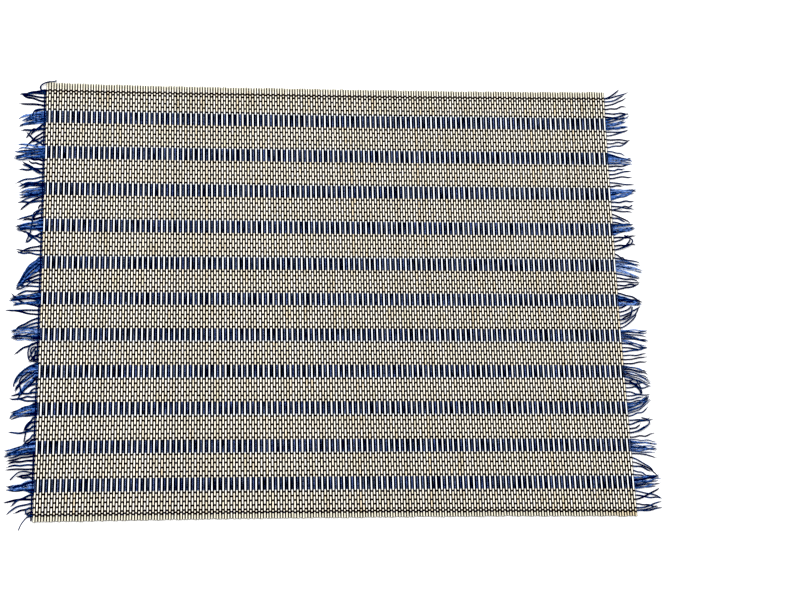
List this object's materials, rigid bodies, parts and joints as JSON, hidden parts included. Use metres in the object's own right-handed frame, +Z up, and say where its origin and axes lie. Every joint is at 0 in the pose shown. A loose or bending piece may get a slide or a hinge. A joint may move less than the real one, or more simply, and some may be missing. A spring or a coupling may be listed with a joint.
{
  "type": "placemat",
  "caption": "Flat oblong placemat of thin bamboo sticks woven side by side with dark cotton yarn in dense stripes and single rows, loose yarn fringe on both short sides.",
  "frame": {"origin": "middle of the woven mat's flat underside, which rests on the table", "axes": "+X along the yarns, towards the side without an edge yarn; +Y along the sticks, towards the far edge; +Z up"},
  "size_m": [0.471, 0.3394, 0.0018],
  "materials": {
    "bamboo": "bare split bamboo, matt, ivory white with tan sticks here and there",
    "yarn": "soft twisted cotton, navy where woven, royal blue where it hangs loose"
  },
  "bodies": {
    "root": {"mat": "bamboo", "fringe_left": "yarn", "fringe_right": "yarn"}
  },
  "joints": []
}
